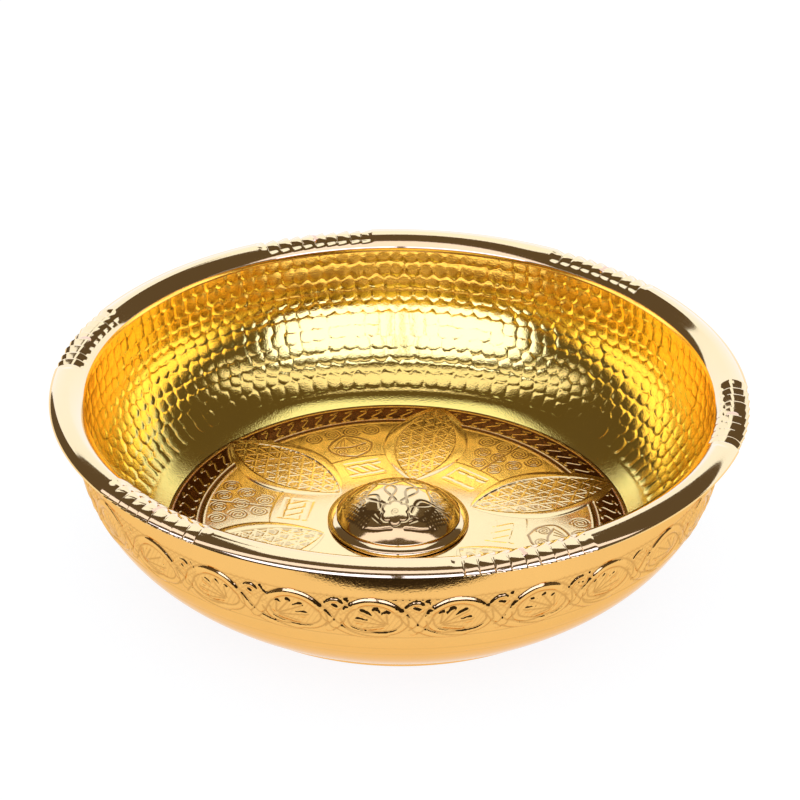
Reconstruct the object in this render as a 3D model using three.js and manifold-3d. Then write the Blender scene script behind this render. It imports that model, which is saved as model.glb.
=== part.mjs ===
// Hammered brass bath bowl with a boss in its floor.
// Millimetres, +Z up. The origin is the centre of the flat base, on the surface the bowl stands on.

import * as THREE from 'three';
import { mergeVertices } from 'three/addons/utils/BufferGeometryUtils.js';
import Module from 'manifold-3d';

const wasm = await Module();
wasm.setup();

// Driving dimensions of the whole bowl
const RIM_RADIUS = 100;
const BOWL_HEIGHT = 55;
const BASE_RADIUS = 63.1;
const WALL_RADIUS = 93.2;
const WALL_CURVE_TOP = 49;
const WALL_CURVE_POWER = 2.7;
const BASE_EDGE_ROUNDING = 3;

// Sheet work: two skins that stand a little apart
const SHEET = 0.6;
const FIT_GAP = 0.3;
const MERGE_DISTANCE = 1e-4;
const LINER_INSET = 1.75;
const LINER_TOP = 50.1;
const SHELL_TOP = 51.8;

// Floor: the medallion lies in a seat sunk in the liner's floor
const FLOOR_HEIGHT = 6.7;
const MEDALLION_RADIUS = 68.2;
const MEDALLION_THICKNESS = 0.8;
const MEDALLION_EDGE_BREAK = 0.25;
const COVE_TOP_HEIGHT = 10.3;
const COVE_SHOULDER_RUN = 2.4;
const COVE_SHOULDER_RISE = 0.3;

// Boss: a spun dome in a turned collar whose spigot is rolled over under the liner
const BOSS_BORE = 19.5;
const DOME_RADIUS = 18.2;
const DOME_TOP = 16.6;
const DOME_EDGE = 9.3;
const DOME_CURVE_POWER = 2.7;
const DOME_FOOT = 8;
const COLLAR_RADIUS = 20.9;
const COLLAR_WIDEST_HEIGHT = 7.6;
const COLLAR_TOP = 9.1;
const COLLAR_UNDERCUT_ANGLE = -24;
const COLLAR_LEDGE_BORE = 16.6;
const COLLAR_LEDGE_THICKNESS = 0.7;
const SPIGOT_INNER = 18.5;
const SPIGOT_OUTER = 19.2;
const ROLLED_LIP_RADIUS = 20.9;

// Rim bead: half-round outside, with a foot inside the shell's edge
const CREST_RADIUS = 95;
const RIM_EDGE_HEIGHT = 52.9;
const RIM_EDGE_ROUNDING = 0.8;
// Inner side of the bead: stretches of [length, lean from upright at its start, lean at its end]
const RIM_INNER_TURNS = [[1.2, 90, 65], [1.6, 65, 54], [3, 54, 17], [1, 17, 12]];
const RIM_FOOT_RADIUS = 92.2;

// Filed notches, in six hand-spaced groups, and the copper pin in each group
const NOTCH_GROUP_ANGLES = [107, 48.5, -11, -70.5, -131.5, 166.5];
const NOTCHES_IN_GROUP = 9;
const NOTCH_PITCH = 2.35;
const NOTCH_RADIUS = 1.35;
const NOTCH_DEPTH = 1.1;
const NOTCH_TILT = 5;
const NOTCH_LENGTH = 14;
const PIN_RADIUS = 2.5;
const PIN_RING_RADIUS = 95.2;
const PIN_FOOT = 53.8;
const PIN_EDGE = 54.35;
const PIN_TOP = 54.9;
const PIN_DOME_RADIUS = 1.5;
const PIN_DOME_HEIGHT = 54.8;

// Facets
const RING_SEGMENTS = 64;
const BEAD_SEGMENTS = 72;
const BOSS_SEGMENTS = 32;
const PIN_SEGMENTS = 14;
const NOTCH_SIDES = 6;
const WALL_STEPS = 8;
const DOME_STEPS = 7;
const COVE_STEPS = 4;
const BASE_EDGE_STEPS = 3;
const RIM_EDGE_STEPS = 2;
const BEAD_ARC_STEPS = 5;
const RIM_INNER_STEPS = 2;
const COLLAR_ARC_STEPS = 7;

const BRASS = { color: '#d9a441', roughness: 0.22, metalness: 1 };
const WORN_BRASS = { color: '#c8963a', roughness: 0.3, metalness: 1 };
const COPPER = { color: '#c98a5e', roughness: 0.3, metalness: 1 };

const bowl = new THREE.Group();

// Profile points are THREE.Vector2(radius, height)
function point(radius, height) {
  return new THREE.Vector2(radius, height);
}

// Points of an elliptical arc, angles in degrees from the outward direction, both ends included
function arc(centreRadius, centreHeight, halfWidth, halfHeight, start, end, steps) {
  const points = [];
  for (let i = 0; i <= steps; i += 1) {
    const angle = THREE.MathUtils.degToRad(start + ((end - start) * i) / steps);
    const across = halfWidth * Math.cos(angle);
    const up = halfHeight * Math.sin(angle);
    points.push(point(centreRadius + across, centreHeight + up));
  }
  return points;
}

// The outside of the wall at a height above the base: upright at the top, drawn in towards the base
function wallPoint(height) {
  const drop = Math.max(0, (WALL_CURVE_TOP - height) / WALL_CURVE_TOP);
  return point(WALL_RADIUS - (WALL_RADIUS - BASE_RADIUS) * drop ** WALL_CURVE_POWER, height);
}

// How far the outside of the wall leans out for each millimetre of height
function wallLean(height) {
  const drop = Math.max(0, (WALL_CURVE_TOP - height) / WALL_CURVE_TOP);
  const lean = ((WALL_RADIUS - BASE_RADIUS) * WALL_CURVE_POWER) / WALL_CURVE_TOP;
  return lean * drop ** (WALL_CURVE_POWER - 1);
}

// A point under the outside of the wall, measured square to it
function wallInset(height, inset) {
  const lean = wallLean(height);
  const length = Math.hypot(1, lean);
  return wallPoint(height).add(point(-inset / length, (inset * lean) / length));
}

// The height on the outside of the wall whose inset point lies at a wanted height
function outsideHeight(wanted, inset) {
  let low = 0;
  let high = WALL_CURVE_TOP;
  for (let i = 0; i < 40; i += 1) {
    const middle = (low + high) / 2;
    if (wallInset(middle, inset).y < wanted) {
      low = middle;
    } else {
      high = middle;
    }
  }
  return low;
}

// The wall's curve at an inset, from one outside height up to another
function wallCurve(inset, from, to) {
  const points = [];
  for (let i = 0; i <= WALL_STEPS; i += 1) {
    points.push(wallInset(from + ((to - from) * i) / WALL_STEPS, inset));
  }
  return points;
}

// The same shape with its shared vertices merged into one closed surface
function closedSurface(geometry) {
  const bare = geometry.clone();
  bare.deleteAttribute('normal');
  bare.deleteAttribute('uv');
  return mergeVertices(bare, MERGE_DISTANCE);
}

// A solid of revolution about Z, from a profile that runs anticlockwise.
// A profile that does not start on the axis is a ring, and closes on itself.
function turned(profile, segments) {
  const isRing = profile[0].x > 0;
  const outline = isRing ? [...profile, profile[0]] : profile;
  const lathe = new THREE.LatheGeometry(outline, segments);
  lathe.rotateX(Math.PI / 2);
  return closedSurface(lathe);
}

function toManifold(geometry) {
  const surface = closedSurface(geometry);
  return new wasm.Manifold(new wasm.Mesh({
    numProp: 3,
    vertProperties: new Float32Array(surface.attributes.position.array),
    triVerts: new Uint32Array(surface.index.array),
  }));
}

function toGeometry(manifold) {
  const mesh = manifold.getMesh();
  const geometry = new THREE.BufferGeometry();
  geometry.setAttribute('position', new THREE.BufferAttribute(mesh.vertProperties, 3));
  geometry.setIndex(new THREE.BufferAttribute(mesh.triVerts, 1));
  return geometry;
}

function addPiece(name, geometry, finish) {
  geometry.computeVertexNormals();
  const piece = new THREE.Mesh(geometry, new THREE.MeshStandardMaterial(finish));
  piece.name = name;
  bowl.add(piece);
}

// The outer bowl: flat base, rounded base edge, wall, and a plain top edge under the rim
function outerShell() {
  const lift = BASE_EDGE_ROUNDING;
  const baseSlope = THREE.MathUtils.radToDeg(Math.atan(1 / wallLean(0)));
  const tangent = lift * Math.tan(THREE.MathUtils.degToRad(baseSlope / 2));
  const edgeRadius = BASE_RADIUS - tangent;
  const curveStart = tangent * Math.sin(THREE.MathUtils.degToRad(baseSlope));
  const inside = lift - SHEET;
  return [
    point(0, 0),
    ...arc(edgeRadius, lift, lift, lift, -90, baseSlope - 90, BASE_EDGE_STEPS),
    ...wallCurve(0, curveStart, WALL_CURVE_TOP).slice(1),
    point(WALL_RADIUS, SHELL_TOP),
    point(WALL_RADIUS - SHEET, SHELL_TOP),
    ...wallCurve(SHEET, curveStart, WALL_CURVE_TOP).slice(1).reverse(),
    ...arc(edgeRadius, lift, inside, inside, baseSlope - 90, -90, BASE_EDGE_STEPS),
    point(0, SHEET),
  ];
}

// Points of the cove between the medallion's seat and the wall, from the seat outwards
function covePoints(inset, start, top) {
  const shoulder = point(start.x + COVE_SHOULDER_RUN, start.y + COVE_SHOULDER_RISE);
  const curve = new THREE.QuadraticBezierCurve(start, shoulder, top);
  return curve.getPoints(COVE_STEPS).map((spot, i) => {
    const along = curve.getTangent(i / COVE_STEPS);
    return spot.clone().add(point(along.y, -along.x).multiplyScalar(inset));
  });
}

// The inner bowl: wall, cove, and a floor with a seat for the medallion and a hole for the boss
function hammeredLiner() {
  const seatRadius = MEDALLION_RADIUS + FIT_GAP;
  const seatHeight = FLOOR_HEIGHT - MEDALLION_THICKNESS - FIT_GAP;
  const coveTop = outsideHeight(COVE_TOP_HEIGHT, LINER_INSET);
  const coveStart = point(seatRadius, FLOOR_HEIGHT);
  const insideWall = wallCurve(LINER_INSET, coveTop, WALL_CURVE_TOP);
  const outsideWall = wallCurve(LINER_INSET - SHEET, coveTop, WALL_CURVE_TOP);
  const insideCove = covePoints(0, coveStart, insideWall[0]);
  const outsideCove = covePoints(SHEET, coveStart, insideWall[0]).slice(1);
  return [
    point(BOSS_BORE, seatHeight - SHEET),
    point(seatRadius - SHEET, seatHeight - SHEET),
    ...outsideCove.slice(0, -1),
    ...outsideWall,
    point(WALL_RADIUS - LINER_INSET + SHEET, LINER_TOP),
    point(WALL_RADIUS - LINER_INSET, LINER_TOP),
    ...insideWall.reverse(),
    ...insideCove.slice(0, -1).reverse(),
    point(seatRadius, seatHeight),
    point(BOSS_BORE, seatHeight),
  ];
}

// The floor disc, pierced for the boss
function floorMedallion() {
  const underside = FLOOR_HEIGHT - MEDALLION_THICKNESS;
  return [
    point(BOSS_BORE, underside),
    point(MEDALLION_RADIUS - MEDALLION_EDGE_BREAK, underside),
    point(MEDALLION_RADIUS, underside + MEDALLION_EDGE_BREAK),
    point(MEDALLION_RADIUS, FLOOR_HEIGHT),
    point(BOSS_BORE, FLOOR_HEIGHT),
  ];
}

// The turned ring round the boss: a rounded skirt, a ledge for the dome, a spigot with a rolled end
function bossCollar() {
  const foot = FLOOR_HEIGHT + FIT_GAP;
  const linerUnderside = FLOOR_HEIGHT - MEDALLION_THICKNESS - FIT_GAP - SHEET;
  const lipTop = linerUnderside - FIT_GAP;
  const bore = DOME_RADIUS + FIT_GAP;
  const run = COLLAR_RADIUS - bore;
  const rise = COLLAR_TOP - COLLAR_WIDEST_HEIGHT;
  return [
    point(SPIGOT_INNER, lipTop - SHEET),
    point(ROLLED_LIP_RADIUS, lipTop - SHEET),
    point(ROLLED_LIP_RADIUS, lipTop),
    point(SPIGOT_OUTER, lipTop),
    point(SPIGOT_OUTER, foot),
    ...arc(bore, COLLAR_WIDEST_HEIGHT, run, rise, COLLAR_UNDERCUT_ANGLE, 90, COLLAR_ARC_STEPS),
    point(bore, foot + COLLAR_LEDGE_THICKNESS),
    point(COLLAR_LEDGE_BORE, foot + COLLAR_LEDGE_THICKNESS),
    point(COLLAR_LEDGE_BORE, foot),
    point(SPIGOT_INNER, foot),
  ];
}

// A point of the dome, set in from its outside and square to it: flat on top, steeper to the edge
function domePoint(radius, inset) {
  const fall = DOME_TOP - DOME_EDGE;
  const along = radius / DOME_RADIUS;
  const slope = (DOME_CURVE_POWER * fall * along ** (DOME_CURVE_POWER - 1)) / DOME_RADIUS;
  const square = inset / Math.hypot(1, slope);
  return point(radius - slope * square, DOME_TOP - fall * along ** DOME_CURVE_POWER - square);
}

// The hollow dome, open below, standing on the collar's ledge
function bossDome() {
  const outside = [];
  const inside = [];
  for (let i = 0; i <= DOME_STEPS; i += 1) {
    const radius = (DOME_RADIUS * i) / DOME_STEPS;
    outside.push(domePoint(radius, 0));
    inside.push(domePoint(radius, SHEET));
  }
  return [
    ...inside,
    point(inside[DOME_STEPS].x, DOME_FOOT),
    point(DOME_RADIUS, DOME_FOOT),
    ...outside.reverse(),
  ];
}

// The bead's inner side, from the crest down to the lip over the hammered wall
function beadInside() {
  const points = [point(CREST_RADIUS, BOWL_HEIGHT)];
  for (const [length, from, to] of RIM_INNER_TURNS) {
    for (let i = 0; i < RIM_INNER_STEPS; i += 1) {
      const lean = THREE.MathUtils.degToRad(from + ((to - from) * (i + 0.5)) / RIM_INNER_STEPS);
      const step = length / RIM_INNER_STEPS;
      const last = points[points.length - 1];
      points.push(point(last.x - step * Math.sin(lean), last.y - step * Math.cos(lean)));
    }
  }
  return points;
}

// The rim ring before filing
function plainBead() {
  const underside = RIM_EDGE_HEIGHT - RIM_EDGE_ROUNDING;
  const footEnd = LINER_TOP + FIT_GAP;
  const outerRun = RIM_RADIUS - CREST_RADIUS;
  const outerRise = BOWL_HEIGHT - RIM_EDGE_HEIGHT;
  const edge = RIM_EDGE_ROUNDING;
  const inside = beadInside();
  return [
    point(inside[inside.length - 1].x, footEnd),
    point(RIM_FOOT_RADIUS, footEnd),
    point(RIM_FOOT_RADIUS, underside),
    ...arc(RIM_RADIUS - edge, RIM_EDGE_HEIGHT, edge, edge, -90, 0, RIM_EDGE_STEPS),
    ...arc(CREST_RADIUS, RIM_EDGE_HEIGHT, outerRun, outerRise, 0, 90, BEAD_ARC_STEPS).slice(1),
    ...inside.slice(1),
  ];
}

// A round file's path across the crest at one angle, deeper towards the outside
function notchCutter(angle) {
  const cutter = new THREE.CylinderGeometry(NOTCH_RADIUS, NOTCH_RADIUS, NOTCH_LENGTH, NOTCH_SIDES);
  cutter.rotateZ(THREE.MathUtils.degToRad(90 - NOTCH_TILT));
  cutter.rotateX(Math.PI / 2);
  cutter.translate(CREST_RADIUS, 0, BOWL_HEIGHT + NOTCH_RADIUS - NOTCH_DEPTH);
  cutter.rotateZ(THREE.MathUtils.degToRad(angle));
  return cutter;
}

// The pocket that holds a pin
function pinPocket(angle) {
  const radius = PIN_RADIUS + FIT_GAP;
  const floor = PIN_FOOT - FIT_GAP;
  const depth = 2 * (BOWL_HEIGHT - floor);
  const pocket = new THREE.CylinderGeometry(radius, radius, depth, PIN_SEGMENTS);
  pocket.rotateX(Math.PI / 2);
  pocket.translate(PIN_RING_RADIUS, 0, floor + depth / 2);
  pocket.rotateZ(THREE.MathUtils.degToRad(angle));
  return pocket;
}

function rimBead() {
  let bead = toManifold(turned(plainBead(), BEAD_SEGMENTS));
  for (const groupAngle of NOTCH_GROUP_ANGLES) {
    for (let i = 0; i < NOTCHES_IN_GROUP; i += 1) {
      const offset = (i - (NOTCHES_IN_GROUP - 1) / 2) * NOTCH_PITCH;
      bead = bead.subtract(toManifold(notchCutter(groupAngle + offset)));
    }
    bead = bead.subtract(toManifold(pinPocket(groupAngle)));
  }
  return toGeometry(bead);
}

// A copper pin with a low domed head
function rimPin(angle) {
  const pin = turned([
    point(0, PIN_FOOT),
    point(PIN_RADIUS, PIN_FOOT),
    point(PIN_RADIUS, PIN_EDGE),
    point(PIN_DOME_RADIUS, PIN_DOME_HEIGHT),
    point(0, PIN_TOP),
  ], PIN_SEGMENTS);
  pin.translate(PIN_RING_RADIUS, 0, 0);
  pin.rotateZ(THREE.MathUtils.degToRad(angle));
  return pin;
}

addPiece('outer_shell', turned(outerShell(), RING_SEGMENTS), BRASS);
addPiece('hammered_liner', turned(hammeredLiner(), RING_SEGMENTS), BRASS);
addPiece('floor_medallion', turned(floorMedallion(), RING_SEGMENTS), WORN_BRASS);
addPiece('boss_collar', turned(bossCollar(), BOSS_SEGMENTS), BRASS);
addPiece('boss_dome', turned(bossDome(), BOSS_SEGMENTS), BRASS);
addPiece('rim_bead', rimBead(), BRASS);
NOTCH_GROUP_ANGLES.forEach((angle, i) => addPiece(`rim_pin_${i + 1}`, rimPin(angle), COPPER));

export default bowl;
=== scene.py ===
"""Hammered brass bath bowl: fine surfaces, finishes, studio and camera."""
import math

import bmesh
import bpy
import numpy as np
from mathutils import Matrix, Vector


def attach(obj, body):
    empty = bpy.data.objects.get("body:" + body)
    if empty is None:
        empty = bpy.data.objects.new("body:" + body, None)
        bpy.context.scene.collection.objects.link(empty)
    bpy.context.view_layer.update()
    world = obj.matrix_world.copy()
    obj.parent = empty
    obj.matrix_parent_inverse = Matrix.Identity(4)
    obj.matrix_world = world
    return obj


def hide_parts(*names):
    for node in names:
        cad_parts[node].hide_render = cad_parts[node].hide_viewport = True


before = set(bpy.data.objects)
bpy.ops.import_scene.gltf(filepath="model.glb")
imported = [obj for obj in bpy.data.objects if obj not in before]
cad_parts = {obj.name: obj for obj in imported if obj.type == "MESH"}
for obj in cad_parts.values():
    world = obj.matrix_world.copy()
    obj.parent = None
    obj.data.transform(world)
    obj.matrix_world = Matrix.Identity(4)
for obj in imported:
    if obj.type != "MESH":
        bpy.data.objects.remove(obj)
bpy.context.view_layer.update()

MM = 0.001
TAU = 2 * math.pi

# Sizes in millimetres, the same as the solids
RIM_RADIUS = 100.0
BOWL_HEIGHT = 55.0
BASE_RADIUS = 63.1
WALL_RADIUS = 93.2
WALL_CURVE_TOP = 49.0
WALL_CURVE_POWER = 2.7
LINER_INSET = 1.75
LINER_TOP = 50.1
SHELL_TOP = 51.8
FIT_GAP = 0.3
FLOOR_HEIGHT = 6.7
MEDALLION_RADIUS = 68.2
MEDALLION_THICKNESS = 0.8
BOSS_BORE = 19.5
DOME_RADIUS = 18.2
DOME_TOP = 16.6
DOME_EDGE = 9.3
DOME_CURVE_POWER = 2.7
DOME_FOOT = 8.0
COLLAR_RADIUS = 20.9
COLLAR_SHOULDER_HEIGHT = 7.3
COLLAR_TOP = 9.1
SPIGOT_BORE, SPIGOT_RADIUS = 18.5, 19.2
CURL_LOW, CURL_HIGH = 3.9, 4.5
LEDGE_BORE = 16.6
CREST_RADIUS = 95.0
RIM_UNDERSIDE = 52.1
RIM_FOOT_RADIUS = 92.2
NOTCH_GROUP_ANGLES = (107, 48.5, -11, -70.5, -131.5, 166.5)
NOTCHES_IN_GROUP = 9
NOTCH_PITCH = 2.35
PIN_RING_RADIUS = 95.2
# The visible skins are thinner than the solids, so that marks inside and out stay clear of each other
SKIN = 0.35
SHEET = 0.6

rng = np.random.default_rng(7)


def linear(code):
    """sRGB hex code to the linear colour that a shader socket takes"""
    channels = [int(code[i:i + 2], 16) / 255 for i in (1, 3, 5)]
    return [c / 12.92 if c <= 0.04045 else ((c + 0.055) / 1.055) ** 2.4 for c in channels] + [1.0]


# Shapes


def wall_radius(z):
    drop = np.clip((WALL_CURVE_TOP - np.asarray(z, float)) / WALL_CURVE_TOP, 0, 1)
    return WALL_RADIUS - (WALL_RADIUS - BASE_RADIUS) * drop ** WALL_CURVE_POWER


def arc(cr, cz, rr, rz, start, end, steps):
    angles = np.radians(np.linspace(start, end, steps + 1))
    return [(cr + rr * math.cos(a), cz + rz * math.sin(a)) for a in angles]


def follow(start, turns, steps):
    """Profile points from a start along stretches of (length, heading at its start, at its end),
    headings in degrees anticlockwise from the outward direction"""
    points = [start]
    for length, first, last in turns:
        step = length / steps
        for heading in np.radians(first + (last - first) * (np.arange(steps) + 0.5) / steps):
            r, z = points[-1]
            points.append((r + math.cos(heading) * step, z + math.sin(heading) * step))
    return points


def offset(points, distance):
    """Profile points moved square to the profile, to its left when the distance is positive"""
    p = np.array(points, float)
    tangent = np.gradient(p, axis=0)
    tangent /= np.linalg.norm(tangent, axis=1)[:, None]
    return [tuple(q) for q in p + distance * np.stack([-tangent[:, 1], tangent[:, 0]], 1)]


def thin(points, step):
    """Every step-th point, and always the last"""
    return points[:-1:step] + [points[-1]]


def ease(distance, width):
    """0 to 1 across a soft edge of a width, with its middle at distance 0"""
    t = np.clip(distance / width + 0.5, 0, 1)
    return t * t * (3 - 2 * t)


def revolve(name, profile, steps, closed=True):
    """Spin a profile of (radius, height) in mm round Z into one closed, outward-facing mesh.
    A sector is spun, then doubled until it closes, because one long spin takes minutes."""
    doublings = 0
    while steps % 2 == 0 and steps > 16:
        steps //= 2
        doublings += 1
    angle = TAU / 2 ** doublings
    bm = bmesh.new()
    verts = [bm.verts.new((r * MM, 0, z * MM)) for r, z in profile]
    edges = [bm.edges.new(pair) for pair in zip(verts, verts[1:])]
    if closed:
        edges.append(bm.edges.new((verts[-1], verts[0])))
    bmesh.ops.spin(bm, geom=verts + edges, cent=(0, 0, 0), axis=(0, 0, 1),
                   angle=angle, steps=steps, use_merge=doublings == 0)
    for _ in range(doublings):
        copy = bmesh.ops.duplicate(bm, geom=bm.verts[:] + bm.edges[:] + bm.faces[:])["geom"]
        bmesh.ops.rotate(bm, verts=[g for g in copy if isinstance(g, bmesh.types.BMVert)],
                         cent=(0, 0, 0), matrix=Matrix.Rotation(angle, 3, "Z"))
        angle *= 2
    bmesh.ops.remove_doubles(bm, verts=bm.verts, dist=1e-6)
    bmesh.ops.recalc_face_normals(bm, faces=bm.faces)
    mesh = bpy.data.meshes.new(name)
    bm.to_mesh(mesh)
    bm.free()
    return mesh


class Skin:
    """A revolved mesh whose worked side is the first points of its profile, to be moved by a relief"""

    def __init__(self, mesh, profile, front):
        self.mesh = mesh
        co = np.empty(len(mesh.vertices) * 3, np.float32)
        mesh.vertices.foreach_get("co", co)
        self.co = co.reshape(-1, 3).astype(float) / MM
        radius = np.hypot(self.co[:, 0], self.co[:, 1])
        p = np.array(profile, float)
        index = np.empty(len(self.co), int)
        for start in range(0, len(self.co), 20000):
            part = slice(start, start + 20000)
            gap = (radius[part, None] - p[None, :, 0]) ** 2
            gap += (self.co[part, 2, None] - p[None, :, 1]) ** 2
            index[part] = gap.argmin(1)
        self.worked = np.where(index < front)[0]
        self.index = index[self.worked]
        self.radius = radius[self.worked]
        self.x, self.y, self.z = self.co[self.worked].T
        self.angle = np.arctan2(self.y, self.x)
        tangent = np.gradient(p[:front], axis=0)
        tangent /= np.linalg.norm(tangent, axis=1)[:, None]
        self.tangent = tangent[self.index]

    def save(self, height, recess=None):
        """Move the worked side out of the metal by heights in mm, and keep how much darker its colour is
        painted in the recesses
        """
        out, up = self.tangent[:, 1] * height, -self.tangent[:, 0] * height
        self.co[self.worked] += np.stack([out * np.cos(self.angle), out * np.sin(self.angle), up], 1)
        self.mesh.vertices.foreach_set("co", (self.co * MM).astype(np.float32).ravel())
        if recess is not None:
            marks = np.zeros(len(self.co), np.float32)
            marks[self.worked] = recess
            self.mesh.attributes.new("recess", "FLOAT", "POINT").data.foreach_set("value", marks)
        self.mesh.update()


class Relief:
    """A drawing board of heights and of dark recesses, in mm"""

    def __init__(self, x0, y0, x1, y1, cell):
        self.x0, self.y0, self.cell = x0, y0, cell
        self.shape = (int((y1 - y0) / cell) + 2, int((x1 - x0) / cell) + 2)
        self.ridge = np.zeros(self.shape, np.float32)
        self.cut = np.zeros(self.shape, np.float32)
        self.y, self.x = np.indices(self.shape, dtype=np.float32)
        self.x = self.x * cell + x0
        self.y = self.y * cell + y0

    def stroke(self, points, half, height, inside=None):
        """A rounded ridge (height > 0) or groove (height < 0) along a line of points"""
        board = self.ridge if height > 0 else self.cut
        pts = np.asarray(points, float)
        if inside is not None:
            keep = inside(pts)
        for i in range(len(pts) - 1):
            if inside is not None and not (keep[i] and keep[i + 1]):
                continue
            (ax, ay), (bx, by) = pts[i], pts[i + 1]
            i0 = max(int((min(ax, bx) - half - self.x0) / self.cell), 0)
            i1 = min(int((max(ax, bx) + half - self.x0) / self.cell) + 2, self.shape[1])
            j0 = max(int((min(ay, by) - half - self.y0) / self.cell), 0)
            j1 = min(int((max(ay, by) + half - self.y0) / self.cell) + 2, self.shape[0])
            if i1 <= i0 or j1 <= j0:
                continue
            x, y = self.x[j0:j1, i0:i1], self.y[j0:j1, i0:i1]
            dx, dy = bx - ax, by - ay
            t = np.clip(((x - ax) * dx + (y - ay) * dy) / max(dx * dx + dy * dy, 1e-9), 0, 1)
            d2 = (x - ax - t * dx) ** 2 + (y - ay - t * dy) ** 2
            value = abs(height) * np.clip(1 - d2 / half ** 2, 0, 1)
            np.maximum(board[j0:j1, i0:i1], value, out=board[j0:j1, i0:i1])

    def sample(self, board, x, y):
        u = np.clip((x - self.x0) / self.cell, 0, self.shape[1] - 1.001)
        v = np.clip((y - self.y0) / self.cell, 0, self.shape[0] - 1.001)
        i, j = u.astype(int), v.astype(int)
        fu, fv = u - i, v - j
        return ((board[j, i] * (1 - fu) + board[j, i + 1] * fu) * (1 - fv)
                + (board[j + 1, i] * (1 - fu) + board[j + 1, i + 1] * fu) * fv)


def spiral(x, y, radius, turns, start, hand=1, squash=1.0):
    t = np.linspace(0, 1, int(16 * turns))
    r = radius * (0.1 + 0.9 * t)
    a = start + hand * TAU * turns * t
    return np.stack([x + r * np.cos(a), y + squash * r * np.sin(a)], 1)


def turn(points, angle):
    """Points with x along a direction at an angle, brought into the plan"""
    p = np.asarray(points, float)
    c, s = math.cos(angle), math.sin(angle)
    return np.stack([p[:, 0] * c - p[:, 1] * s, p[:, 0] * s + p[:, 1] * c], 1)


def bend(points, steps=8):
    """A smooth line through a few points"""
    p = np.asarray(points, float)
    p = np.vstack([2 * p[0] - p[1], p, 2 * p[-1] - p[-2]])
    t = np.linspace(0, 1, steps, endpoint=False)[:, None]
    parts = []
    for a, b, c, d in zip(p, p[1:], p[2:], p[3:]):
        square, cube = 2 * a - 5 * b + 4 * c - d, 3 * b - a - 3 * c + d
        parts.append(b + 0.5 * ((c - a) * t + square * t ** 2 + cube * t ** 3))
    return np.vstack(parts + [p[-2:-1]])


def hatch(board, x, y, slants, reach, spacing, half, depth, inside):
    """Fine parallel cuts about a spot, at one or more slants in degrees"""
    for slant in slants:
        c, s = math.cos(math.radians(slant)), math.sin(math.radians(slant))
        t = np.linspace(-reach, reach, int(reach * 4))
        for k in np.arange(-reach, reach, spacing):
            board.stroke(np.stack([x + t * c - k * s, y + t * s + k * c], 1), half, -depth, inside)


def finish_piece(mesh, material, node, sharp=40):
    obj = bpy.data.objects.new(mesh.name, mesh)
    bpy.context.scene.collection.objects.link(obj)
    mesh.shade_smooth()
    mesh.set_sharp_from_angle(angle=math.radians(sharp))
    mesh.materials.append(material)
    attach(obj, "root")
    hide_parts(node)
    return obj


# Materials


def add(tree, kind, links=None, **settings):
    """One shader node, its settings (plain attributes or input values) and its links"""
    node = tree.nodes.new(kind)
    for key, value in settings.items():
        if hasattr(node, key):
            setattr(node, key, value)
        else:
            node.inputs[key.replace("_", " ")].default_value = value
    for key, source in (links or {}).items():
        tree.links.new(source, node.inputs[key])
    return node


def brass(slot, colour, deep, rough, grain=0.012, grain_mm=0.6, stain=0.06, pits=0.0,
          edge="#ffffff"):
    """Metal with cloudy tarnish, polishing grain, pits, darker recesses and a tint seen edge-on.
    Grain is its depth in mm and grain_mm its width; pits are that many times deeper."""
    material = bpy.data.materials.new("fine_" + slot)
    material.use_nodes = True
    tree = material.node_tree
    tree.nodes.clear()
    out = add(tree, "ShaderNodeOutputMaterial")
    place = add(tree, "ShaderNodeTexCoord").outputs["Object"]
    cloud = add(tree, "ShaderNodeTexNoise", {"Vector": place}, Scale=55.0, Detail=4.0)
    fine = add(tree, "ShaderNodeTexNoise", {"Vector": place}, Scale=1 / (grain_mm * MM), Detail=3.0)
    recess = add(tree, "ShaderNodeAttribute", attribute_name="recess")
    tone = add(tree, "ShaderNodeMapRange", {"Value": cloud.outputs["Fac"]},
               From_Min=0.3, From_Max=0.75, To_Max=stain)
    both = add(tree, "ShaderNodeMath", {0: tone.outputs["Result"], 1: recess.outputs["Fac"]},
               operation="MAXIMUM", use_clamp=True)
    mix = add(tree, "ShaderNodeMix", {0: both.outputs[0]}, data_type="RGBA")
    mix.inputs[6].default_value = linear(colour)
    mix.inputs[7].default_value = linear(deep)
    gloss = add(tree, "ShaderNodeMapRange", {"Value": fine.outputs["Fac"]},
                From_Min=0.3, From_Max=0.7, To_Min=rough * 0.75, To_Max=rough * 1.3)
    height = fine.outputs["Fac"]
    if pits:
        spots = add(tree, "ShaderNodeTexVoronoi", {"Vector": place}, Scale=260.0)
        hole = add(tree, "ShaderNodeMapRange", {"Value": spots.outputs["Distance"]},
                   From_Min=0.03, From_Max=0.10)
        rare = add(tree, "ShaderNodeTexNoise", {"Vector": place}, Scale=70.0)
        some = add(tree, "ShaderNodeMath", {0: rare.outputs["Fac"]}, operation="GREATER_THAN")
        some.inputs[1].default_value = 0.56
        holes = add(tree, "ShaderNodeMath", {0: some.outputs[0], 1: hole.outputs["Result"]},
                    operation="SUBTRACT", use_clamp=True)
        height = add(tree, "ShaderNodeMath", {0: holes.outputs[0], 2: fine.outputs["Fac"]},
                     operation="MULTIPLY_ADD")
        height.inputs[1].default_value = -pits
        height = height.outputs[0]
    bump = add(tree, "ShaderNodeBump", {"Height": height}, Strength=1.0, Distance=grain * MM)
    shader = add(tree, "ShaderNodeBsdfPrincipled",
                 {"Base Color": mix.outputs[2], "Roughness": gloss.outputs["Result"],
                  "Normal": bump.outputs["Normal"]}, Metallic=1.0, Specular_Tint=linear(edge))
    tree.links.new(shader.outputs[0], out.inputs["Surface"])
    return material


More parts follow.
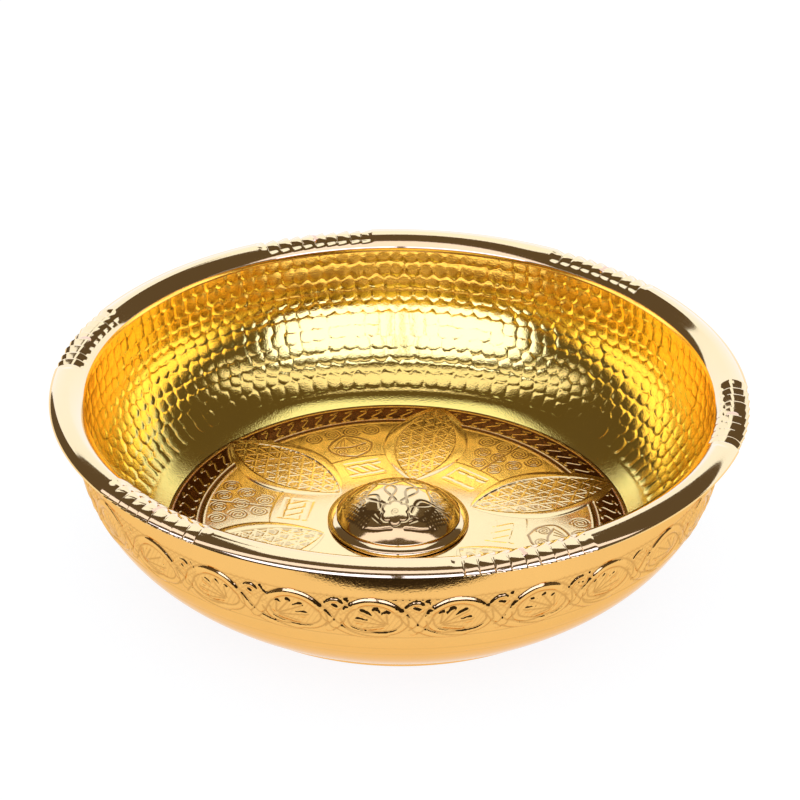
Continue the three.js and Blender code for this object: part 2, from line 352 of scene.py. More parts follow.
# Brass, polished by wheel over the hammer marks: bright, deep gold where it sees itself
HAMMERED = brass("hammered_brass", "#fdd463", "#8a5a1c", 0.09, grain=0.034, grain_mm=0.5)
# Brass, spun and buffed: pale mirror gloss
TURNED = brass("turned_brass", "#f9d08a", "#a06c2c", 0.07, grain=0.003, grain_mm=0.5, stain=0.03)
# Brass, engraved and buffed: pale on the smooth bands, brown in the cuts
ENGRAVED = brass("engraved_brass", "#fed586", "#7a3a06", 0.11, grain=0.008, grain_mm=0.5)
# Brass, chased with fine lines and buffed
CHASED = brass("chased_brass", "#facf84", "#6a3c10", 0.09, grain=0.004, grain_mm=0.4, stain=0.03)
# Brass, satin polished, with the fine pits of a worked sheet
CAST = brass("cast_gold_brass", "#f6bf6e", "#96602a", 0.07, grain=0.015, pits=4.0, edge="#fbe8c8")
# Copper pin, filed flush and buffed with the rim, a little pinker than the brass
COPPER = brass("copper_pin", "#f2bd84", "#9a5c3a", 0.12, grain=0.004, grain_mm=0.4)


# Inner bowl

# How far the inner wall leans from upright, in degrees, along its length from the top in mm
INNER_LEAN = ((0, 0), (3, 0.6), (10, 5), (15, 11), (20, 18.3), (23, 23.5), (27, 29), (31, 33.5),
              (35, 37), (36.2, 40.2), (39.6, 45), (40.6, 48.4), (45.2, 51), (46.2, 54), (47.8, 65),
              (49.5, 70), (52.4, 76))
INNER_LENGTH = INNER_LEAN[-1][0]
# Edges between the rows of hammer marks, along the same length
ROW_EDGES = (0, 3.9, 9.0, 12.9, 16.7, 20.2, 24.3, 28.6, 32.6, 36.3, 39.8, 45.2)
MARK_PITCH = 4.5
MARK_HALF_WIDTH = 2.75
MARK_OVERLAP = 0.75
MARK_DEPTH = 0.22
# Marks above this length are struck deeper
DEEP_ROWS_END = 20
SEAT_RADIUS = MEDALLION_RADIUS + FIT_GAP


def inner_profile():
    """The inner wall from its top edge down to the medallion's seat, with fine steps"""
    hammered = np.linspace(0, ROW_EDGES[-1], 133)
    cove = np.linspace(ROW_EDGES[-1], INNER_LENGTH, 15)[1:]
    along = np.concatenate([hammered, cove])
    fine = np.linspace(0, INNER_LENGTH, 1200)
    lean = np.radians(np.interp(fine, *zip(*INNER_LEAN)))
    step = fine[1] - fine[0]
    lean = (lean[1:] + lean[:-1]) / 2
    r = WALL_RADIUS - LINER_INSET - np.concatenate([[0], np.cumsum(np.sin(lean))]) * step
    z = LINER_TOP - np.concatenate([[0], np.cumsum(np.cos(lean))]) * step
    pull = np.clip((fine - ROW_EDGES[-1]) / (INNER_LENGTH - ROW_EDGES[-1]), 0, 1) ** 1.5
    r += (SEAT_RADIUS - r[-1]) * pull
    z += (FLOOR_HEIGHT - z[-1]) * pull
    return along, np.interp(along, fine, r), np.interp(along, fine, z)


along_profile, inner_r, inner_z = inner_profile()
HAMMER_ROWS = []
for low, high in zip(ROW_EDGES, ROW_EDGES[1:]):
    radius = float(np.interp((low + high) / 2, along_profile, inner_r))
    count = int(round(TAU * radius / MARK_PITCH))
    shift, droop = rng.normal(0, 0.07, count), rng.normal(0, 0.16, count)
    blow = MARK_DEPTH * (1.2 if low < DEEP_ROWS_END else 1.0) * rng.normal(1, 0.12, count)
    HAMMER_ROWS.append((low, high, count, shift, droop, blow, rng.uniform(0, 0.05)))


def hammer_depth(angle, along, radius):
    """Depth in mm of rows of round hammer marks, each row struck over the one below it"""
    depth = np.full(len(angle), 0.06)
    for low, high, count, shift, droop, blow, phase in reversed(HAMMER_ROWS):
        half = (high - low) / 2 + MARK_OVERLAP
        row = np.where(np.abs(along - (low + high) / 2) < half + 0.8)[0]
        step = TAU / count
        column = np.floor((angle[row] - phase) / step).astype(int)
        best = np.full(len(row), 9.0)
        force = np.zeros(len(row))
        for side in (-1, 0, 1):
            mark = (column + side) % count
            centre = phase + (column + side + 0.5 + shift[mark]) * step
            across = (angle[row] - centre) * radius[row] / MARK_HALF_WIDTH
            down = (along[row] - (low + high) / 2 - droop[mark]) / half
            reach = across ** 2 + down ** 2
            near = reach < best
            best[near] = reach[near]
            force[near] = blow[mark][near]
        edge = np.sqrt(best)
        over = np.clip((1 - edge) / 0.14, 0, 1)
        depth[row] = depth[row] * (1 - over) + force * (1 - 0.8 * np.minimum(edge, 1) ** 4) * over
    return depth


def inner_bowl():
    """The hammered wall and cove in three rings, parted between rows; the lowest carries the seat"""
    profile = list(zip(inner_r, inner_z))
    first_parting, second_parting = (int(np.searchsorted(along_profile, ROW_EDGES[k])) for k in (4, 8))
    seat = FLOOR_HEIGHT - MEDALLION_THICKNESS - FIT_GAP
    floor = [(SEAT_RADIUS, seat), (BOSS_BORE, seat), (BOSS_BORE, seat - SHEET),
             (SEAT_RADIUS - SKIN, seat - SHEET)]
    for name, first, last, ledge in (("inner_wall_top", 0, first_parting + 1, []),
                                     ("inner_wall_middle", first_parting, second_parting + 1, []),
                                     ("inner_wall_cove", second_parting, len(profile), floor)):
        front = profile[first:last]
        back = offset(thin(front, 8), SHEET)[::-1]
        full = front + ledge + (back[1:] if ledge else back)
        mesh = revolve(name, full, 1472)
        skin = Skin(mesh, full, len(front))
        along = along_profile[first + skin.index]
        worked = np.where(along > ROW_EDGES[-1], 0, hammer_depth(skin.angle, along, skin.radius))
        worked *= np.clip((ROW_EDGES[-1] + 0.3 - along) / 0.5, 0, 1)
        skin.save(-worked)
        finish_piece(mesh, HAMMERED, "hammered_liner", 60)


# Floor medallion

PETAL_START = 19.5
PETAL_IN, PETAL_OUT, PETAL_HALF = 23.0, 68.4, 12.6
PETAL_ANGLES = [math.radians(PETAL_START + 60 * k) for k in range(6)]
# The net's middle, the slant of its bars in degrees and the space between them
NET_MIDDLE, NET_SLANT, NET_PITCH = 46, 52, 3.6
# A ladder panel's middle, half length and half width
PANEL_MIDDLE, PANEL_LENGTH, PANEL_WIDTH = 31.0, 4.4, 5.6
FIELD_INNER, FIELD_OUTER = 38.0, 57.3
DARK_RING = (57.9, 59.4)
KEY_RING = (59.9, 67.2)
KEY_STROKE = ((0.2, 66.2), (2.6, 65.4), (1.4, 65.2), (1.0, 64.4), (4.0, 61.8), (3.6, 60.9), (2.4, 60.6),
              (4.9, 60.1))
KEY_RADIUS = 63.0
KEYS = 84


def petal_half(u):
    t = np.clip((np.asarray(u, float) - PETAL_IN) / (PETAL_OUT - PETAL_IN), 0, 1)
    return PETAL_HALF * np.sin(np.pi * t ** 0.95) ** 0.78


def sector(x, y, middle):
    """Each point in the frame of the nearest of six directions: along it and across it"""
    r, a = np.hypot(x, y), np.arctan2(y, x) - math.radians(middle)
    a = (a + TAU / 12) % (TAU / 6) - TAU / 12
    return r * np.cos(a), r * np.sin(a)


def petal_edge(x, y):
    """How far inside the outline of the nearest petal a point lies"""
    u, v = sector(x, y, PETAL_START)
    return np.where((u > PETAL_IN) & (u < PETAL_OUT), petal_half(u) - np.abs(v), -9.0)


def net_edge(x, y):
    """How far inside a petal's netted middle a point lies"""
    u, v = sector(x, y, PETAL_START)
    return np.where((u > PETAL_IN) & (u < PETAL_OUT), 0.77 * petal_half(u) - 0.7 - np.abs(v), -9.0)


def draw_petal(board, angle):
    def net(p):
        return net_edge(*p.T) > 0.1
    t = np.linspace(-40, 40, 160)
    for slant in (-NET_SLANT, NET_SLANT):
        c, s = math.cos(math.radians(slant)), math.sin(math.radians(slant))
        for k in np.arange(-45, 45, NET_PITCH):
            bar = np.stack([NET_MIDDLE + t * c - k * s, t * s + k * c], 1)
            board.stroke(turn(bar, angle), 0.42, 0.075, net)
    pitch_u = NET_PITCH / math.sin(math.radians(NET_SLANT))
    pitch_v = NET_PITCH / math.cos(math.radians(NET_SLANT))
    for i in range(-11, 12):
        for j in range(-5, 6):
            if (i + j) % 2:
                continue
            u, v = NET_MIDDLE + i * pitch_u / 2, j * pitch_v / 2
            chevron = np.array([(u + 0.2, v - 1.5), (u - 0.75, v), (u + 0.2, v + 1.5)])
            board.stroke(turn(bend(chevron, 3), angle), 0.32, 0.036, net)


def draw_field(board, angle, heart):
    def clear(p):
        r = np.hypot(p[:, 0], p[:, 1])
        return (petal_edge(*p.T) < -0.5) & (r < FIELD_OUTER - 0.3) & (r > FIELD_INNER + 0.3)

    def groove(points, half=0.26, depth=0.06):
        board.stroke(turn(points, angle), half, -depth, clear)
    for r, size, first, gap in ((53.8, 3.0, 0.5, 6.2), (47.6, 3.0, 0.0, 6.1), (41.4, 2.9, 0.5, 6.0)):
        for k in range(-4, 5):
            v = (k + first) * gap + rng.normal(0, 0.15)
            a = v / r
            x, y = r * math.cos(a), r * math.sin(a)
            if heart and x < 51 and abs(y) < 8:
                continue
            if petal_edge(*turn([(x, y)], angle).T)[0] > -1.6:
                continue
            groove(spiral(x, y, size, 2.7, rng.uniform(0, TAU), 1 if k % 2 else -1, 0.95))
    if heart:
        for side in (-1, 1):
            outline = [(38.8, 0), (41, side * 4.6), (45.5, side * 6.9), (49.4, side * 4.2), (52.0, 0)]
            groove(bend(outline), 0.42, 0.07)
            groove(spiral(43.0, side * 3.2, 2.3, 2.4, 1.0, side))
            for reach in (1.5, 3.0, 4.5):
                vein = [(46.2, side * reach), (48.4, side * reach * 0.62), (50.4, side * 0.3)]
                groove(bend(vein), 0.3, 0.045)
        groove(bend([(45.6, -5.0), (44.6, 0), (45.6, 5.0)]), 0.42, 0.07)
    else:
        groove(np.array([(38.5, 0), (56.8, 0)]), 0.38, 0.06)


def draw_panel(board, angle):
    for k in (-1, 0, 1):
        zigzag = np.array([(33.6, -2.0), (33.3, 1.4), (28.7, -1.5), (28.4, 1.9)])
        zigzag[:, 1] += k * 3.4
        board.stroke(turn(zigzag, angle), 0.55, 0.10)


def draw_medallion():
    board = Relief(-69, -69, 69, 69, 0.11)
    for k, petal in enumerate(PETAL_ANGLES):
        draw_field(board, petal - math.radians(30), k % 2 == 0)
        draw_panel(board, petal - math.radians(30))
        draw_petal(board, petal)

    def border(p):
        return petal_edge(*p.T) < -1.4
    key = bend(KEY_STROKE, 3)
    for k in range(KEYS):
        a = TAU * k / KEYS + key[:, 0] / KEY_RADIUS
        board.stroke(np.stack([key[:, 1] * np.cos(a), key[:, 1] * np.sin(a)], 1), 0.30, 0.11, border)
    return board


def medallion_relief(board, x, y):
    """Height of the floor and how much darker it is painted: smooth raised bands, sunk grounds, a dark
    border
    """
    r = np.hypot(x, y)
    ridge, cut = board.sample(board.ridge, x, y), board.sample(board.cut, x, y)
    petal, net = ease(petal_edge(x, y), 0.9), ease(net_edge(x, y), 0.8)
    u, v = sector(x, y, PETAL_START)
    pillow = net * (1 - np.clip(np.abs(v) / np.maximum(petal_half(u), 0.1), 0, 1) ** 2)
    pu, pv = sector(x, y, PETAL_START - 30)
    cell = ease(PANEL_LENGTH - np.abs(pu - PANEL_MIDDLE), 0.8) * ease(PANEL_WIDTH - np.abs(pv), 0.8)
    field = ease(r - FIELD_INNER, 0.7) * ease(FIELD_OUTER - r, 0.5) * (1 - petal)
    dark_ring = ease(r - DARK_RING[0], 0.4) * ease(DARK_RING[1] - r, 0.4) * (1 - petal)
    border = ease(r - KEY_RING[0], 0.4) * ease(KEY_RING[1] - r, 0.4)
    border *= 1 - ease(petal_edge(x, y) + 1.1, 0.6)
    across = np.clip((petal_edge(x, y) - 2.1) / 2.3, -1, 1)
    band = 0.17 * (1 - across ** 2) * (1 - net) * np.clip((PETAL_OUT - 1 - u) / 9, 0, 1)
    height = ridge - cut + 0.10 * pillow - 0.10 * net + band * petal - 0.08 * cell - 0.09 * field
    height -= 0.14 * (dark_ring + border)
    outline = np.clip(1 - np.abs(petal_edge(x, y) + 0.1) / 0.35, 0, 1) * (r < 58)
    outline += np.clip(1 - np.abs(net_edge(x, y)) / 0.3, 0, 1)
    worn = net * np.clip(1 - ((u - 51.5) / 9.5) ** 2 - (v / 6.0) ** 2, 0, 1) ** 0.3
    recess = 0.05 * field + 0.34 * net * (1 - np.clip(ridge / 0.05, 0, 1)) + 0.10 * worn
    recess += np.clip(cut * 11, 0, 0.6) + 0.8 * dark_ring + 0.4 * outline
    recess = np.maximum(recess, 0.92 * border * (1 - np.clip(ridge / 0.07, 0, 1)))
    return height, np.clip(recess, 0, 1)


def medallion():
    """The engraved disc in four rings, with finer steps farther out"""
    board = draw_medallion()
    underside = FLOOR_HEIGHT - MEDALLION_THICKNESS
    for name, low, high, rows, steps in (("medallion_middle", BOSS_BORE, 34.0, 52, 1024),
                                         ("medallion_field_inner", 34.0, 46.0, 50, 1536),
                                         ("medallion_field_outer", 46.0, 57.6, 48, 1920),
                                         ("medallion_border", 57.6, MEDALLION_RADIUS, 40, 2304)):
        top = [(r, FLOOR_HEIGHT) for r in np.linspace(high, low, rows)]
        full = top + [(low, underside), (high, underside)]
        mesh = revolve(name, full, steps)
        skin = Skin(mesh, full, rows)
        skin.save(*medallion_relief(board, skin.x, skin.y))
        finish_piece(mesh, ENGRAVED, "floor_medallion", 80)


# Boss


def dome_height(r):
    return DOME_TOP - (DOME_TOP - DOME_EDGE) * (np.asarray(r, float) / DOME_RADIUS) ** DOME_CURVE_POWER


def draw_boss():
    """A small rosette towards the front with leaf swirls about it and fine cross-cut grounds"""
    board = Relief(-18.5, -18.5, 18.5, 18.5, 0.06)

    def engraved(p):
        return np.hypot(p[:, 0], p[:, 1]) < 16.6
    cx, cy = -0.9, -9.0
    for k in range(6):
        a = TAU * k / 6 + 0.5
        t = np.linspace(-1.35, 1.35, 16)
        x, y = cx + 2.6 * math.cos(a), cy + 2.6 * math.sin(a)
        lobe = np.stack([x + 1.75 * np.cos(a + t), y + 1.75 * np.sin(a + t)], 1)
        board.stroke(lobe, 0.44, -0.12, engraved)
    board.stroke(spiral(cx, cy, 1.3, 1.6, 0.4), 0.28, -0.045)
    for k in range(11):
        a = math.radians(-20 + 220 * k / 10)
        root = np.array([cx + 4.9 * math.cos(a), cy + 4.9 * math.sin(a)])
        tip = np.array([16.0 * math.cos(a * 1.02), 16.0 * math.sin(a * 1.02)])
        aside = np.array([-(tip - root)[1], (tip - root)[0]]) * 0.16 * (1 if k % 2 else -1)
        leaf = [root, root * 0.66 + tip * 0.34 + aside, root * 0.34 + tip * 0.66 - aside, tip]
        board.stroke(bend(leaf), 0.50, -0.12, engraved)
        x, y = root * 0.45 + tip * 0.55 + 0.8
        board.stroke(spiral(x, y, 1.5, 1.3, a, 1 if k % 2 else -1), 0.40, -0.10, engraved)
    for side in (-1, 1):
        swirl = [(cx + side * 4.2, -12.4), (side * 7.6, -9.6), (side * 11.8, -3.4), (side * 14.6, 3.4)]
        board.stroke(bend(swirl), 0.50, -0.11, engraved)
        lower = [(side * 2.0, -14.2), (side * 6.4, -13.8), (side * 10.6, -12.2)]
        board.stroke(bend(lower), 0.44, -0.10, engraved)
    for x, y in ((-12.2, -9.2), (11.6, -9.8), (13.8, -2.2), (-14.0, -1.6)):
        def patch(p, x=x, y=y):
            return (np.hypot(p[:, 0] - x, p[:, 1] - y) < 4.3) & engraved(p)
        hatch(board, x, y, (38, 128), 4.6, 1.0, 0.28, 0.08, patch)
    return board


def boss():
    """The turned ring with its spigot rolled over below, and the chased dome in it"""
    bore = DOME_RADIUS + FIT_GAP
    foot = FLOOR_HEIGHT + FIT_GAP
    ledge = foot + 0.7
    reach = 2 * (COLLAR_RADIUS - bore)
    rise = (COLLAR_TOP - COLLAR_SHOULDER_HEIGHT) / math.sin(math.radians(60))
    skirt = arc(COLLAR_RADIUS - reach, COLLAR_SHOULDER_HEIGHT, reach, rise, -8, 60, 24)
    spigot = [(SPIGOT_BORE, CURL_LOW), (COLLAR_RADIUS, CURL_LOW), (COLLAR_RADIUS, CURL_HIGH),
              (SPIGOT_RADIUS, CURL_HIGH), (SPIGOT_RADIUS, foot)]
    inside = [(bore, ledge), (LEDGE_BORE, ledge), (LEDGE_BORE, foot), (SPIGOT_BORE, foot)]
    finish_piece(revolve("boss_ring", spigot + skirt + inside, 256), TURNED, "boss_collar", 50)

    board = draw_boss()
    outside = [(float(r), float(dome_height(r))) for r in np.linspace(DOME_RADIUS, 0, 80)]
    inner_radii = np.linspace(0, DOME_RADIUS - SHEET, 12)
    inside = [(float(r), float(dome_height(r) - SHEET)) for r in inner_radii]
    foot = [(DOME_RADIUS - SHEET, DOME_FOOT), (DOME_RADIUS, DOME_FOOT)]
    mesh = revolve("boss_cap", inside + foot + outside, 512, closed=False)
    skin = Skin(mesh, outside + inside, len(outside))
    cut = board.sample(board.cut, skin.x, skin.y)
    beaten = 0.018 * np.sin(0.9 * skin.x + 1.1) * np.cos(0.8 * skin.y + 0.4)
    fade = np.clip((16.9 - skin.radius) / 0.6, 0, 1)
    skin.save((beaten - cut) * fade - 0.02, np.clip(cut * 8, 0, 0.5) * fade)
    finish_piece(mesh, CHASED, "boss_dome", 80)


# Rim

# Stretches of (length, heading at its start, at its end) outwards and inwards from the crest
RIM_OUTSIDE = ((3.04, 0, -25), (1.0, -25, -36), (0.73, -36, -45), (0.52, -45, -51), (0.79, -51, -90))
RIM_INSIDE = ((1.0, 180, 205), (2.1, 205, 216), (2.6, 216, 225.5), (0.12, 225.5, 250), (1.3, 254, 262))
NOTCH_CUT = 0.95
NOTCH_CREST = 0.30
NOTCH_FLANK, NOTCH_RUN = 0.35, 3.7
# How much of its depth a group's notch keeps on the crest
NOTCH_ON_CREST = (0.22, 0.22, 0.5, 0.22, 0.22, 0.5)
# Which way round the long face of each group's notches runs
NOTCH_WAYS = (-1, 1, 1, 1, -1, -1)
NOTCH_SHAKE = rng.normal(0, 0.10, (6, NOTCHES_IN_GROUP))
PIN_PROFILE = ((0, 53.2), (1.8, 53.2), (1.8, 54.28), (1.7, 54.42), (1.1, 54.5), (0, 54.52))


def notch_depth(angle, radius, height):
    """Filed notches: a steep side at each line and a long face that runs out to the next one,
    deep at both edges of the rim and faint on its crest"""
    depth = np.zeros(len(angle))
    share = np.maximum(ease(94.0 - radius, 2.8), ease(radius - 96.9, 3.2))
    low = (1 - share) * NOTCH_CREST
    ends = ease(radius - 91.9, 0.8) * np.clip((height - 50.7) / 1.2, 0, 1)
    for group, way, kept, shakes in zip(NOTCH_GROUP_ANGLES, NOTCH_WAYS, NOTCH_ON_CREST, NOTCH_SHAKE):
        cut = NOTCH_CUT * ends * (kept + (1 - kept) * share)
        reach = np.abs((np.degrees(angle) - group + 180) % 360 - 180)
        dip = low * ease((NOTCHES_IN_GROUP / 2 + 0.2) * NOTCH_PITCH - reach, 1.2)
        depth = np.maximum(depth, dip)
        for i, shake in enumerate(shakes):
            line = math.radians(group + (i - (NOTCHES_IN_GROUP - 1) / 2) * NOTCH_PITCH + shake)
            past = way * ((angle - line + math.pi) % TAU - math.pi) * CREST_RADIUS
            face = np.where(past < 0, 1 + past / NOTCH_FLANK, 1 - past / NOTCH_RUN)
            depth = np.maximum(depth, dip + cut * np.clip(face, 0, 1))
    return depth


def rim():
    """The half-round ring with its notches, and a pin in each group of them"""
    outside = follow((CREST_RADIUS, BOWL_HEIGHT), RIM_OUTSIDE, 4)
    stretch = (RIM_RADIUS - CREST_RADIUS) / (outside[-1][0] - CREST_RADIUS)
    outside = [(CREST_RADIUS + (r - CREST_RADIUS) * stretch, z) for r, z in outside]
    inside = follow((CREST_RADIUS, BOWL_HEIGHT), RIM_INSIDE, 4)
    foot_end = LINER_TOP + FIT_GAP
    front = outside[::-1] + inside[1:]
    full = front + [(inside[-1][0], foot_end), (RIM_FOOT_RADIUS, foot_end),
                    (RIM_FOOT_RADIUS, RIM_UNDERSIDE), (RIM_RADIUS - FIT_GAP, RIM_UNDERSIDE)]
    mesh = revolve("rim_ring", full, 1920)
    skin = Skin(mesh, full, len(front))
    skin.save(-notch_depth(skin.angle, skin.radius, skin.z))
    finish_piece(mesh, TURNED, "rim_bead", 60)
    for i, angle in enumerate(NOTCH_GROUP_ANGLES):
        mesh = revolve("pin_%d" % (i + 1), PIN_PROFILE, 40, closed=False)
        mesh.transform(Matrix.Rotation(math.radians(angle), 4, "Z")
                       @ Matrix.Translation((PIN_RING_RADIUS * MM, 0, 0)))
        finish_piece(mesh, COPPER, "rim_pin_%d" % (i + 1), 40)


# Outer bowl

FRIEZE_LOW, FRIEZE_HIGH = 26.4, 42.0
LOOPS = 26
FRIEZE_RADIUS = 91.5
VINE_STEM = ((-11.4, -4.8), (-8.8, -1.4), (-6.4, 3.0), (-1.6, 5.9), (4.0, 5.3), (8.4, 1.7),
             (11.4, -2.4), (15.8, -5.4), (21.0, -6.3), (25.0, -5.6))
VINE_CURL = ((8.3, 1.8), (8.7, -1.8), (5.6, -4.8), (-0.4, -5.3), (-5.8, -3.4), (-7.2, 0.2))
LEAF_ROOT = (-4.3, -1.8)
LEAF_TIPS = ((-3.9, 2.6), (-0.4, 3.7), (3.6, 2.9), (5.0, -0.4), (2.2, -3.2))
BUD_CURL = ((-3.4, -2.6), (-1.4, 0.4), (0.8, 1.3), (2.2, 0.2), (1.2, -1.1), (0.0, -0.5))
BUD_STALK = ((3.4, 1.6), (4.4, 0.0), (6.2, -0.6))


def draw_frieze():
    """A running vine: u is the length round the wall from the back, v the height"""
    length = TAU * FRIEZE_RADIUS
    board = Relief(-30, FRIEZE_LOW, length + 30, FRIEZE_HIGH, 0.13)
    pitch = length / LOOPS
    middle = 34.1
    for k in range(-1, LOOPS + 1):
        shift = 0.6 * math.sin(2.4 * (k % LOOPS))
        spot = np.array([(k + 0.71) * pitch + shift, middle])
        for line, half, height in ((bend(VINE_STEM), 1.15, 0.34), (bend(VINE_CURL), 0.75, 0.22)):
            board.stroke(spot + line, half, height)
            for side in (-1, 1):
                board.stroke(spot + np.array(offset(line, side * (half + 0.15))), 0.32, -0.10)
        way = np.array((1, 1) if k % 2 else (-1, 1))
        for tip in LEAF_TIPS:
            root = np.array(LEAF_ROOT)
            reach = np.array(tip) - root
            board.stroke(spot + way * (root + reach * np.array([[0.25], [0.6], [0.84]])), 1.3, 0.28)
            board.stroke(spot + way * (root + reach * np.array([[0.1], [0.95]])), 0.30, -0.12)

        def oval(p, c=spot):
            return ((p[:, 0] - c[0]) / 7.4) ** 2 + ((p[:, 1] - c[1]) / 4.8) ** 2 < 1
        hatch(board, spot[0], spot[1], (62,), 7.6, 1.25, 0.26, 0.035, oval)
        bud = spot + np.array([11.2, 4.4])
        board.stroke(bud + bend(BUD_CURL), 0.75, 0.24)
        board.stroke(bud + bend(BUD_STALK), 0.65, 0.20)

        def ground(p, c=bud):
            return (np.abs(p[:, 0] - c[0]) < 5.4) & (p[:, 1] > c[1] - 3.6)
        hatch(board, bud[0], bud[1], (42, 138), 6.0, 1.15, 0.25, 0.05, ground)
    for v in (41.2, 27.0):
        board.stroke(np.array([(-30, v), (length + 30, v)]), 0.28, -0.07)
    return board


def outer_piece(name, front, steps, relief=None, sharp=50):
    """A closed ring of sheet whose outside follows the front points, from low to high"""
    full = front + offset(thin(front, 6), SKIN)[::-1]
    mesh = revolve(name, full, steps)
    if relief:
        skin = Skin(mesh, full, len(front))
        skin.save(*relief(skin.angle, skin.z))
    return finish_piece(mesh, CAST, "outer_shell", sharp)


def turning_lines(angle, z):
    """Faint lines left by the lathe below the frieze"""
    lines = 0.05 * np.exp(-((z - 21.5) / 0.35) ** 2) + 0.04 * np.exp(-((z - 18.0) / 0.3) ** 2)
    lines = lines + 0.04 * np.exp(-((z - 9.5) / 0.3) ** 2) + 0.05 * np.exp(-((z - 4.6) / 0.4) ** 2)
    return -lines, lines * 3


def outer_bowl():
    """The neck, the frieze in two rings, the plain lower wall and the base"""
    board = draw_frieze()

    def vine(angle, z):
        u = ((angle - math.pi / 2) % TAU) * FRIEZE_RADIUS
        ridge, cut = board.sample(board.ridge, u, z), board.sample(board.cut, u, z)
        fade = np.clip((z - FRIEZE_LOW) / 0.8, 0, 1) * np.clip((FRIEZE_HIGH - z) / 0.5, 0, 1)
        ground = 0.10 * (1 - np.clip(ridge / 0.2, 0, 1))
        # The cuts are painted darker: painted shade along the vine's grooves and its border lines
        return (ridge - cut - ground) * fade, np.clip(cut * 6, 0, 0.45) * fade

    def strip(heights):
        return [(float(wall_radius(z)), float(z)) for z in heights]
    parting = 34.2
    outer_piece("vine_frieze_lower", strip(np.linspace(FRIEZE_LOW, parting, 28)), 2048, vine)
    outer_piece("vine_frieze_upper", strip(np.linspace(parting, FRIEZE_HIGH, 28)), 2048, vine)
    outer_piece("neck", strip(np.linspace(FRIEZE_HIGH, SHELL_TOP, 12)), 480)
    low = strip(np.linspace(1.9, FRIEZE_LOW, 56))
    outer_piece("lower_wall", low, 480, turning_lines)
    edge = arc(low[0][0] - 2.55, 2.9, 2.9, 2.9, -90, -20, 6)
    foot = [(0.0, 0.0), (40.0, 0.0)] + edge[:-1] + [low[0], (low[0][0] - SKIN, low[0][1])]
    foot += [(edge[0][0], SKIN), (0.0, SKIN)]
    finish_piece(revolve("base", foot, 480, closed=False), CAST, "outer_shell", 50)


inner_bowl()
medallion()
boss()
rim()
outer_bowl()


# Studio


def stage_sheet(name, mesh, build):
    """A sheet of the studio with its own shader tree"""
    obj = bpy.data.objects.new(name, mesh)
    bpy.context.scene.collection.objects.link(obj)
    material = bpy.data.materials.new(name)
    material.use_nodes = True
    tree = material.node_tree
    tree.nodes.clear()
    out = add(tree, "ShaderNodeOutputMaterial")
    tree.links.new(build(tree).outputs[0], out.inputs["Surface"])
    mesh.materials.append(material)
    return obj


def floor_paper(tree):
    """White to the eye and to metal; the part of it that takes light keeps a soft cool shadow"""
    path = add(tree, "ShaderNodeLightPath")
    seen = path.outputs["Is Camera Ray"]
    for ray in ("Is Glossy Ray", "Is Transmission Ray"):
        seen = add(tree, "ShaderNodeMath", {0: seen, 1: path.outputs[ray]}, operation="MAXIMUM").outputs[0]
    paper = add(tree, "ShaderNodeBsdfDiffuse", Color=linear("#8f887b"))
    glow = add(tree, "ShaderNodeEmission", {"Strength": seen}, Color=linear("#e4eaf1"))
    return add(tree, "ShaderNodeAddShader", {0: paper.outputs[0], 1: glow.outputs[0]})


def metal_only(name, place, colour, level):
    """A glowing sheet that only metal sees; place brings a square from -1 to 1 to its spot in metres"""
    bm = bmesh.new()
    bmesh.ops.create_grid(bm, x_segments=16, y_segments=16, size=1.0)
    for v in bm.verts:
        v.co = place(v.co.x, v.co.y)
    mesh = bpy.data.meshes.new(name)
    bm.to_mesh(mesh)
    bm.free()

    def glow(tree):
        return add(tree, "ShaderNodeEmission", Color=linear(colour), Strength=level)
    obj = stage_sheet(name, mesh, glow)
    obj.visible_camera = False
    obj.visible_diffuse = False
    obj.visible_shadow = False


def card(name, alphas, laterals, colour, level, distance=2.9):
    """A studio panel or flag on a sphere round the bowl. Alpha turns from the back horizon over the
    top to the front one; lateral is to the viewer's right. Both are in degrees."""
    def place(x, y):
        a = math.radians(alphas[0] + (alphas[1] - alphas[0]) * (x + 1) / 2)
        b = math.radians(laterals[0] + (laterals[1] - laterals[0]) * (y + 1) / 2)
        ahead = distance * math.cos(b)
        return distance * math.sin(b), ahead * math.cos(a), ahead * math.sin(a)
    metal_only(name, place, colour, level)


BACK_WHITE, UPPER_WHITE, SOFTBOX, DIM_ROOM = "#bccfff", "#c2caff", "#9baeff", "#ffebd9"


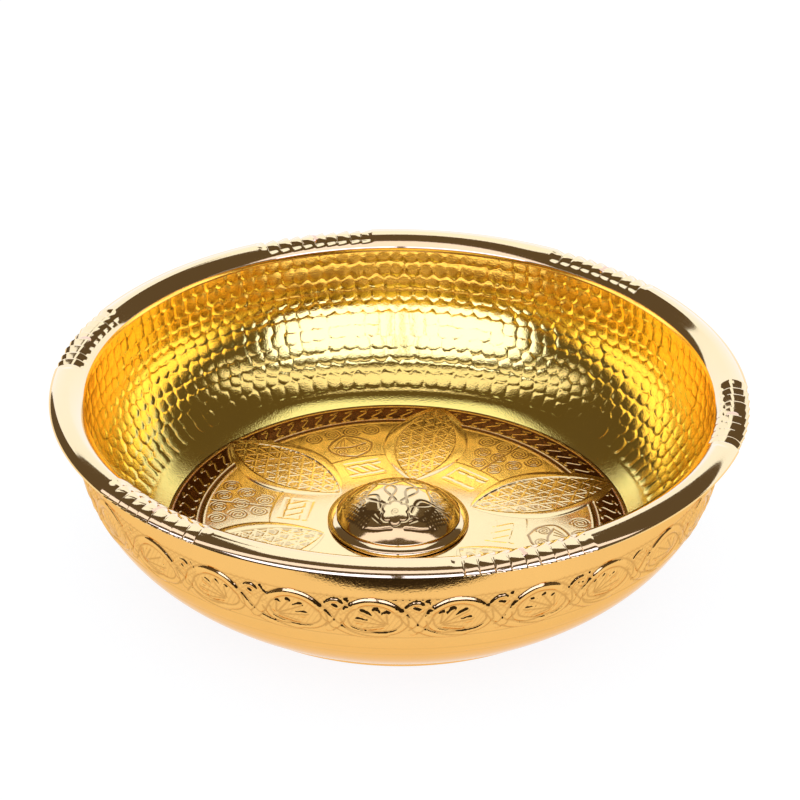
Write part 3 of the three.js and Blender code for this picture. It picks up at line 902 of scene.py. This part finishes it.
def studio():
    """A white floor and world, with panels and flags that give the metal something to mirror"""
    bm = bmesh.new()
    bmesh.ops.create_circle(bm, cap_ends=True, radius=6.0, segments=96)
    mesh = bpy.data.meshes.new("floor")
    bm.to_mesh(mesh)
    bm.free()
    stage_sheet("floor", mesh, floor_paper)
    world = bpy.data.worlds.new("studio")
    bpy.context.scene.world = world
    world.use_nodes = True
    tree = world.node_tree
    tree.nodes.clear()
    add(tree, "ShaderNodeBackground", Color=(1, 1, 1, 1), Strength=1.0)
    out = add(tree, "ShaderNodeOutputWorld")
    tree.links.new(tree.nodes["Background"].outputs[0], out.inputs["Surface"])
    card("flag_room", (0, 180), (-89.5, 89.5), DIM_ROOM, 0.116, 3.0)
    card("panel_back_low", (-2, 42), (-36, 75), BACK_WHITE, 2.2)
    card("panel_back_middle", (42, 60), (-11, 11), BACK_WHITE, 2.3)
    card("panel_back_high", (60, 79), (-17, 17), BACK_WHITE, 2.3)
    card("panel_upper", (102, 119), (-60, 60), UPPER_WHITE, 2.2)
    card("panel_lower_left", (132, 175), (-46, -1.6), SOFTBOX, 6.0)
    card("panel_lower_right", (132, 175), (1.6, 46), SOFTBOX, 6.0)
    # The floor towards the viewer, from 150 mm in front of the bowl's middle, is dim to metal
    metal_only("flag_table_edge", lambda x, y: (1.5 * x, -1.45 - 1.3 * y, 0.0004), DIM_ROOM, 0.035)


def camera():
    """The camera fitted to the outlines in the photograph, with its slight roll in radians"""
    elevation = math.radians(29.755)
    roll = 0.0104
    away = 760.0
    aim_x, aim_z = 0.134, 47.615
    data = bpy.data.cameras.new("camera")
    data.sensor_fit = "HORIZONTAL"
    data.sensor_width = 36.0
    data.lens = 118.8558
    data.clip_start = 0.01
    data.clip_end = 50.0
    cam = bpy.data.objects.new("camera", data)
    bpy.context.scene.collection.objects.link(cam)
    forward = Vector((0, math.cos(elevation), -math.sin(elevation)))
    side = Vector((1, 0, 0))
    up = side.cross(forward)
    right = math.cos(roll) * side + math.sin(roll) * up
    top = -math.sin(roll) * side + math.cos(roll) * up
    matrix = Matrix((right, top, -forward)).transposed().to_4x4()
    place = (aim_x, -away * math.cos(elevation), aim_z + away * math.sin(elevation))
    matrix.translation = Vector(place) * MM
    cam.matrix_world = matrix
    bpy.context.scene.camera = cam


studio()
camera()
bpy.context.scene.view_settings.view_transform = "Standard"
